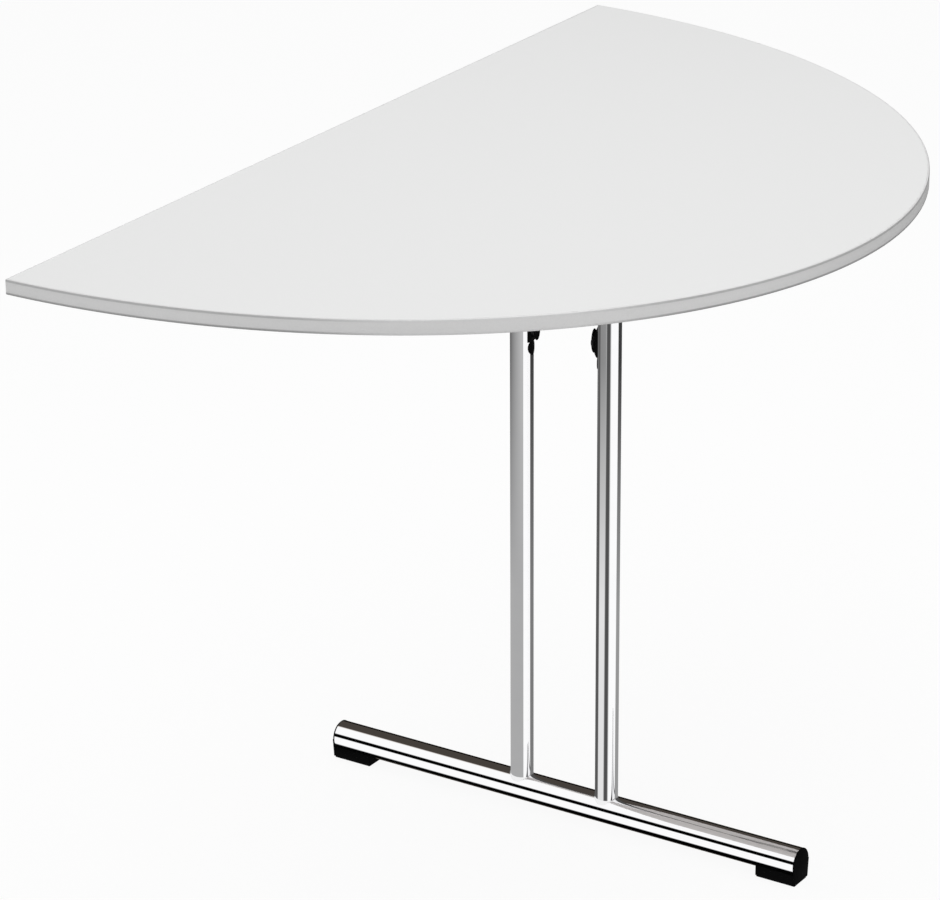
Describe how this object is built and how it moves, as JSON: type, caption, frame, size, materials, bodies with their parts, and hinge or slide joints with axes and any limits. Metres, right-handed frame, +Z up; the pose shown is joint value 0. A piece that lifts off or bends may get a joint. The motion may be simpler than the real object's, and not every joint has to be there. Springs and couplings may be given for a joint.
{
  "type": "folding table",
  "caption": "Half-round folding table with a pale laminate top, grey edging and one chrome T-leg that folds up under the top on a hinge with black folding stays",
  "frame": {"origin": "On the floor, under the middle of the top's box", "axes": "X along the straight edge, Y from the round edge towards the straight edge, Z up from the floor"},
  "size_m": [1.1, 0.65, 0.732],
  "materials": {
    "white_laminate": "satin",
    "backing_laminate": "matte",
    "grey_edging": "satin",
    "chipboard": "matte",
    "chrome_tube": "polished",
    "black_plastic": "satin",
    "black_rubber": "matte",
    "black_steel": "satin",
    "zinc_steel": "satin",
    "nylon": "satin"
  },
  "bodies": {
    "top": {"top_core": "chipboard", "top_laminate": "white_laminate", "base_laminate": "backing_laminate", "arc_edge_band": "grey_edging", "straight_edge_band": "grey_edging", "hinge_bracket_front": "black_steel", "hinge_bracket_rear": "black_steel", "hinge_bush_front": "nylon", "hinge_bush_rear": "nylon", "hinge_screws": "zinc_steel", "stay_anchor": "black_steel", "anchor_pins": "zinc_steel", "anchor_screws": "zinc_steel", "rest_buffers": "black_rubber", "buffer_screws": "zinc_steel"},
    "leg": {"upright_front": "chrome_tube", "upright_rear": "chrome_tube", "upright_plug_front": "black_plastic", "upright_plug_rear": "black_plastic", "foot_tube": "chrome_tube", "foot_cap_front": "black_plastic", "foot_cap_rear": "black_plastic", "glide_front": "black_rubber", "glide_rear": "black_rubber", "hinge_axle": "zinc_steel", "axle_caps": "zinc_steel", "knuckle_front": "black_plastic", "knuckle_rear": "black_plastic", "knuckle_bolts": "zinc_steel"},
    "stay_lower": {"stay_lower_front": "black_steel", "stay_lower_rear": "black_steel", "knee_rivets": "zinc_steel"},
    "stay_upper": {"stay_upper_front": "black_steel", "stay_upper_rear": "black_steel", "knee_bar": "zinc_steel", "knee_grip": "black_plastic"}
  },
  "joints": [
    {"name": "leg_fold", "type": "hinge", "parent": "top", "child": "leg", "pos_m": [0, 0.0325, 0.686], "axis": [0, -1, 0], "range_deg": [0, 90]},
    {"name": "stay_lower_turn", "type": "hinge", "parent": "leg", "child": "stay_lower", "pos_m": [0, 0.0325, 0.557], "axis": [0, -1, 0], "range_deg": [-130.71, 0]},
    {"name": "stay_upper_turn", "type": "hinge", "parent": "top", "child": "stay_upper", "pos_m": [0.15, 0.0325, 0.686], "axis": [0, -1, 0], "range_deg": [0, 139.31]}
  ],
  "couplings": [
    {"joint": "stay_lower_turn", "follows": "leg_fold", "ratio": -1.4522},
    {"joint": "stay_upper_turn", "follows": "leg_fold", "ratio": 1.5478}
  ]
}
